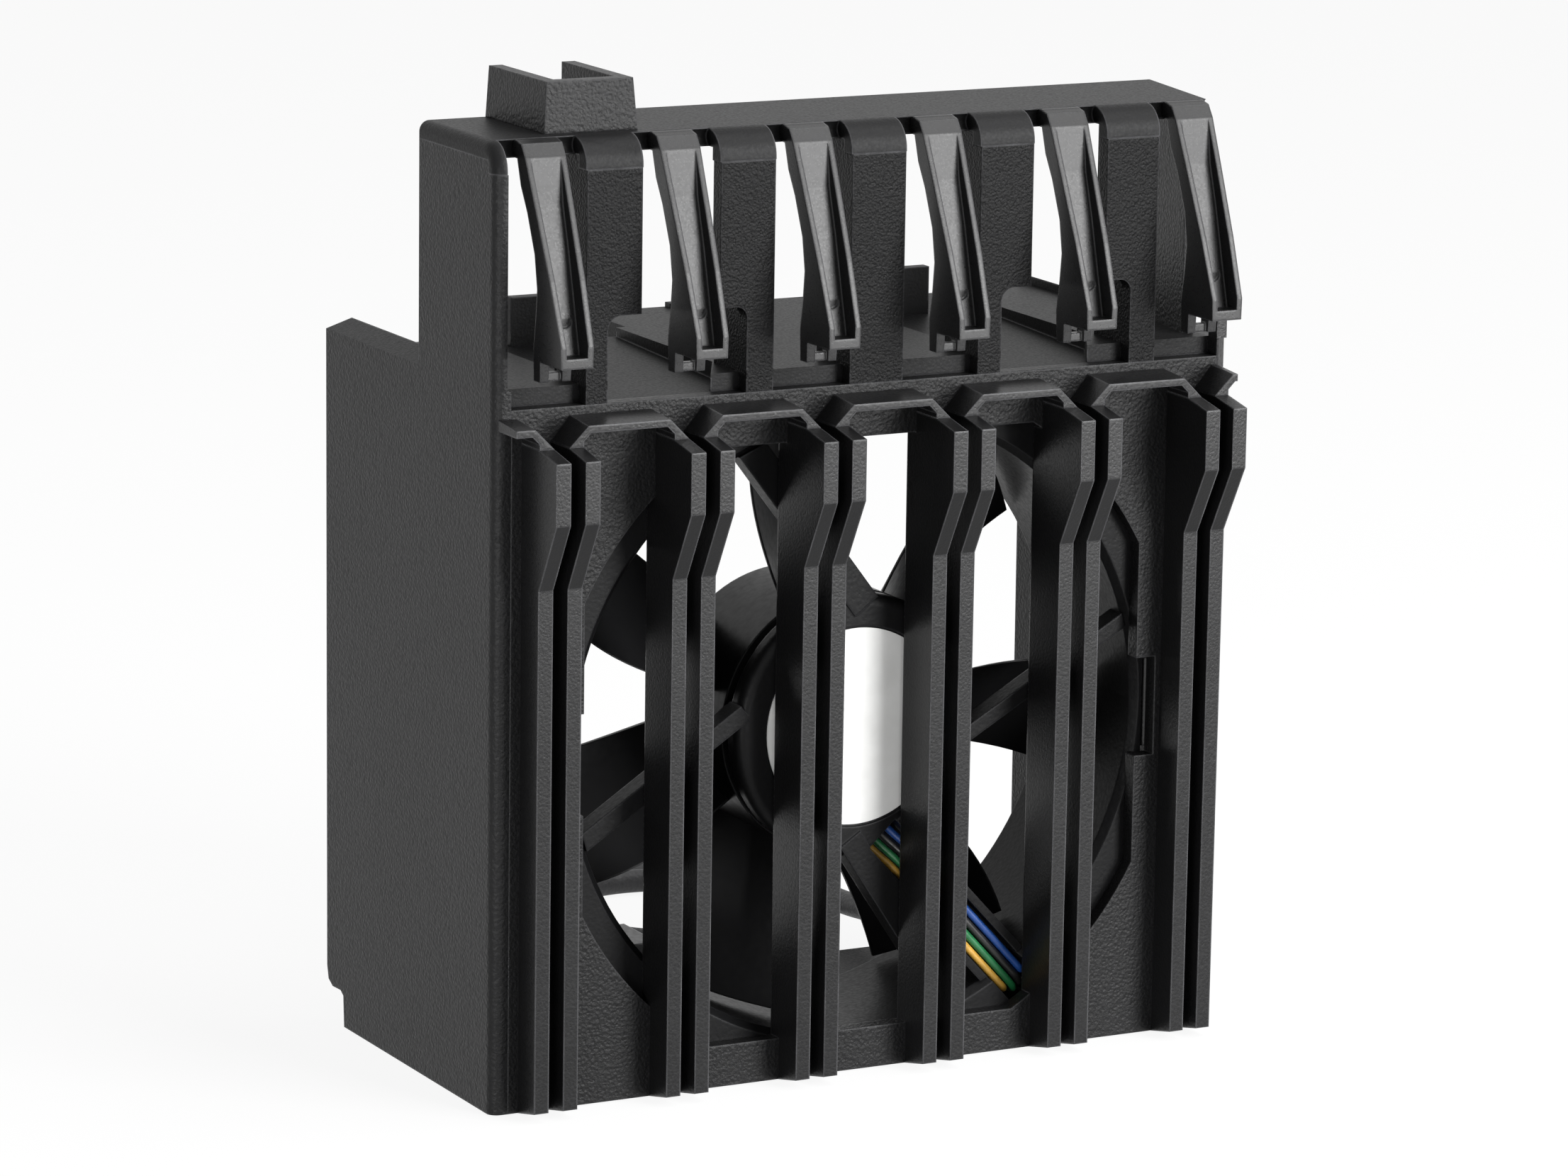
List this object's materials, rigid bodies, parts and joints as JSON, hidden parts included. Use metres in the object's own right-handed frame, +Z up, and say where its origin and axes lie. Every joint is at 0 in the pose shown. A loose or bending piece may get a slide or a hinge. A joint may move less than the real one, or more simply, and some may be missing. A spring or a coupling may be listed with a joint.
{
  "type": "card-guide fan duct",
  "caption": "Black moulded fan duct with card guides and sprung clips on its front and an axial fan latched inside.",
  "frame": {"origin": "centre of the housing's bounding box, on the plane that it stands on", "axes": "+X to the right along the card side, +Y from the card side to the open rear, +Z up"},
  "size_m": [0.1162, 0.12, 0.1426],
  "materials": {
    "housing_plastic": "spark-textured black moulding",
    "clip_plastic": "smoother satin black moulding",
    "fan_plastic": "satin black",
    "impeller_plastic": "satin black",
    "label_film": "white satin film, bare",
    "tube_brass": "turned",
    "bearing_steel": "ground",
    "yoke_steel": "stamped",
    "magnet_ferrite": "matte",
    "coil_copper": "enamelled winding",
    "board_laminate": "solder mask",
    "wire_blue": "insulation",
    "wire_black": "insulation",
    "wire_green": "insulation",
    "wire_yellow": "insulation",
    "sleeve_black": "sleeving",
    "plug_nylon": "nylon"
  },
  "bodies": {
    "housing": {"front_panel": "housing_plastic", "left_side_wall": "housing_plastic", "right_side_wall": "housing_plastic", "duct_floor": "housing_plastic", "duct_shelf": "housing_plastic", "shelf_tabs": "housing_plastic", "shoulder_ledges": "housing_plastic", "hood": "housing_plastic", "tower_left_wall": "housing_plastic", "tower_right_wall": "housing_plastic", "sill_stub": "housing_plastic", "window_pillar_1": "housing_plastic", "window_pillar_2": "housing_plastic", "window_pillar_3": "housing_plastic", "window_pillar_4": "housing_plastic", "window_pillar_5": "housing_plastic", "hood_boss": "housing_plastic", "card_guide_1": "housing_plastic", "card_guide_2": "housing_plastic", "card_guide_3": "housing_plastic", "card_guide_4": "housing_plastic", "card_guide_5": "housing_plastic", "card_guide_6": "housing_plastic", "guide_arches": "housing_plastic", "fan_ribs": "housing_plastic", "fan_frame": "fan_plastic", "fan_spider": "fan_plastic", "hub_label": "label_film", "bearing_tube": "tube_brass", "front_bearing": "bearing_steel", "rear_bearing": "bearing_steel", "preload_washer": "bearing_steel", "motor_board": "board_laminate", "stator_coils": "coil_copper", "stator_core": "yoke_steel", "lead_blue": "wire_blue", "lead_black": "wire_black", "lead_green": "wire_green", "lead_yellow": "wire_yellow", "lead_sleeve": "sleeve_black", "lead_coil": "sleeve_black", "lead_tail": "sleeve_black", "fan_plug": "plug_nylon", "plug_contacts": "tube_brass"},
    "rotor": {"impeller": "impeller_plastic", "rotor_yoke": "yoke_steel", "magnet_ring": "magnet_ferrite", "rotor_shaft": "bearing_steel", "retaining_clip": "bearing_steel"},
    "clip_1": {"guide_clip_1": "clip_plastic"},
    "clip_2": {"guide_clip_2": "clip_plastic"},
    "clip_3": {"guide_clip_3": "clip_plastic"},
    "clip_4": {"guide_clip_4": "clip_plastic"},
    "clip_5": {"guide_clip_5": "clip_plastic"},
    "clip_6": {"guide_clip_6": "clip_plastic"},
    "left_latch": {"left_latch_arm": "housing_plastic"},
    "right_latch": {"right_latch_arm": "housing_plastic"}
  },
  "joints": [
    {"name": "rotor_spin", "type": "hinge", "parent": "housing", "child": "rotor", "pos_m": [0, -0.0108, 0.0492], "axis": [0, 1, 0], "continuous": true},
    {"name": "clip_1_flex", "type": "hinge", "parent": "housing", "child": "clip_1", "pos_m": [-0.05065, -0.0197, 0.13425], "axis": [1, 0, 0], "range_deg": [-8, 5], "stiffness_Nm_per_rad": 0.3},
    {"name": "clip_2_flex", "type": "hinge", "parent": "housing", "child": "clip_2", "pos_m": [-0.03033, -0.0197, 0.13425], "axis": [1, 0, 0], "range_deg": [-8, 5], "stiffness_Nm_per_rad": 0.3},
    {"name": "clip_3_flex", "type": "hinge", "parent": "housing", "child": "clip_3", "pos_m": [-0.01001, -0.0197, 0.13425], "axis": [1, 0, 0], "range_deg": [-8, 5], "stiffness_Nm_per_rad": 0.3},
    {"name": "clip_4_flex", "type": "hinge", "parent": "housing", "child": "clip_4", "pos_m": [0.01031, -0.0197, 0.13425], "axis": [1, 0, 0], "range_deg": [-8, 5], "stiffness_Nm_per_rad": 0.3},
    {"name": "clip_5_flex", "type": "hinge", "parent": "housing", "child": "clip_5", "pos_m": [0.03063, -0.0197, 0.13425], "axis": [1, 0, 0], "range_deg": [-8, 5], "stiffness_Nm_per_rad": 0.3},
    {"name": "clip_6_flex", "type": "hinge", "parent": "housing", "child": "clip_6", "pos_m": [0.05095, -0.0197, 0.13425], "axis": [1, 0, 0], "range_deg": [-8, 5], "stiffness_Nm_per_rad": 0.3},
    {"name": "left_latch_flex", "type": "hinge", "parent": "housing", "child": "left_latch", "pos_m": [-0.04745, -0.01913, 0.0485], "axis": [0, 0, 1], "range_deg": [0, 6], "stiffness_Nm_per_rad": 0.5},
    {"name": "right_latch_flex", "type": "hinge", "parent": "housing", "child": "right_latch", "pos_m": [0.04745, -0.01913, 0.0485], "axis": [0, 0, -1], "range_deg": [0, 6], "stiffness_Nm_per_rad": 0.5}
  ]
}
